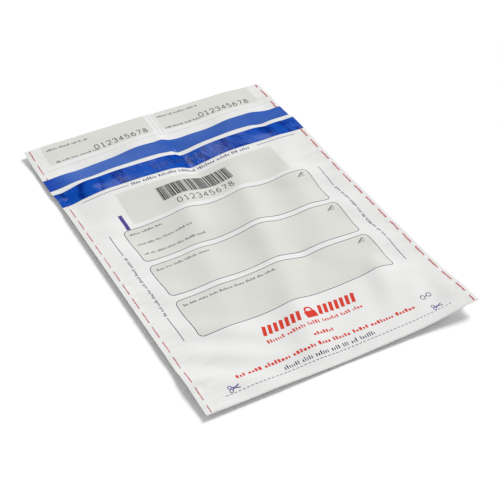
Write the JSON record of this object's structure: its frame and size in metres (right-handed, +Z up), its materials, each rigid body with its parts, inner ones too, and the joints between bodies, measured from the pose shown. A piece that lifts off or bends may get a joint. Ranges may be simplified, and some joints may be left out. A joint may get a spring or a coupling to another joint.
{
  "type": "cash deposit bag",
  "caption": "Flat tamper-evident film envelope with welded sides, a fold-over adhesive lip under a release liner, a security tape at the mouth and tear-off receipts.",
  "frame": {"origin": "centre of the bag's outline, on the surface that it lies on", "axes": "+X across the width, +Y from the bottom fold towards the mouth, the lip and the receipts, +Z up out of the printed face"},
  "size_m": [0.25, 0.37, 0.0094],
  "materials": {
    "white_film": "satin",
    "fused_film": "satin",
    "security_tape": "gloss",
    "release_liner": "satin",
    "adhesive": "gloss",
    "receipt_film": "satin"
  },
  "bodies": {
    "bag": {"back_panel": "white_film", "front_panel": "white_film", "left_side_weld": "fused_film", "right_side_weld": "fused_film", "bottom_fold": "white_film", "security_tape": "security_tape"},
    "lip": {"closure_lip": "white_film", "adhesive_strip": "adhesive"},
    "liner": {"release_liner": "release_liner"},
    "left_stub": {"left_receipt": "receipt_film"},
    "right_stub": {"right_receipt": "receipt_film"}
  },
  "joints": [
    {"name": "lip_fold", "type": "hinge", "parent": "bag", "child": "lip", "pos_m": [0, 0.12, 0.0087], "axis": [1, 0, 0], "range_deg": [0, 180]},
    {"name": "liner_peel", "type": "hinge", "parent": "lip", "child": "liner", "pos_m": [-0.125, 0.13325, 0.0042], "axis": [0, -1, 0], "range_deg": [0, 180]},
    {"name": "left_receipt_tear", "type": "slide", "parent": "lip", "child": "left_stub", "axis": [0, 1, 0], "range_m": [0, 0.03]},
    {"name": "right_receipt_tear", "type": "slide", "parent": "lip", "child": "right_stub", "axis": [0, 1, 0], "range_m": [0, 0.03]}
  ]
}
